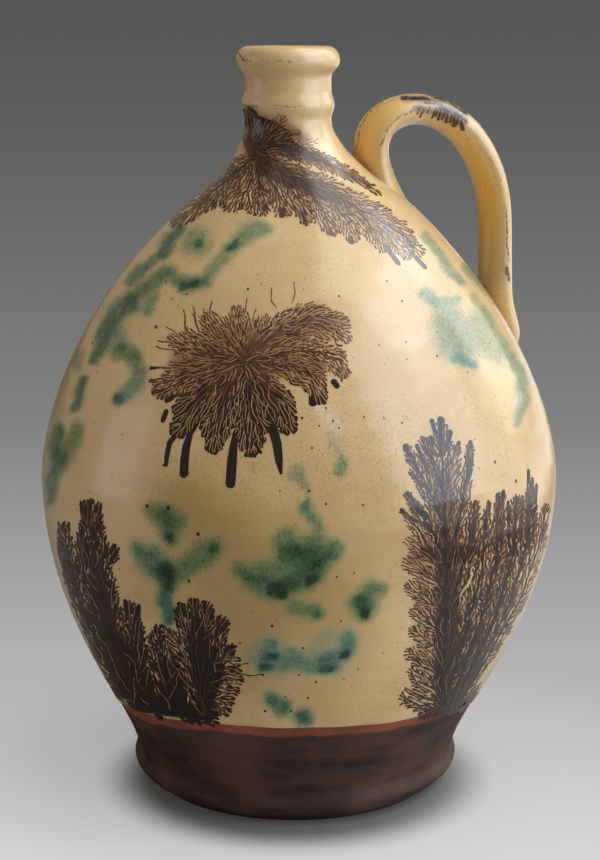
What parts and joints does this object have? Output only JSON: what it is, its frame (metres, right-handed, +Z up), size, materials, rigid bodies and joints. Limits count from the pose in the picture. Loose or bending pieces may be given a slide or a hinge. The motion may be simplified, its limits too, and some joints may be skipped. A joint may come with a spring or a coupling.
{
  "type": "slip-decorated earthenware jug",
  "caption": "Round-bellied earthenware jug with a narrow corked neck, rolled lip, strap handle and bare clay foot, slip-coated and glazed, for storing and pouring liquids.",
  "frame": {"origin": "middle of the flat resting face under the foot", "axes": "+Z up along the neck's axis, +X towards the handle"},
  "size_m": [0.2454, 0.2454, 0.35],
  "materials": {
    "bare_clay": "fired red earthenware, thinly washed, semi-matt",
    "glazed_slip": "yellow-cream slip under a crazed glossy lead glaze, with brown dendrites and green splashes"
  },
  "bodies": {
    "root": {"base_disc": "bare_clay", "foot_ring": "bare_clay", "lower_wall": "bare_clay", "upper_wall": "bare_clay", "neck": "bare_clay", "lip_roll": "bare_clay", "handle_strap": "glazed_slip", "handle_top_root": "glazed_slip", "handle_bottom_root": "glazed_slip", "slip_coat": "glazed_slip"}
  },
  "joints": []
}
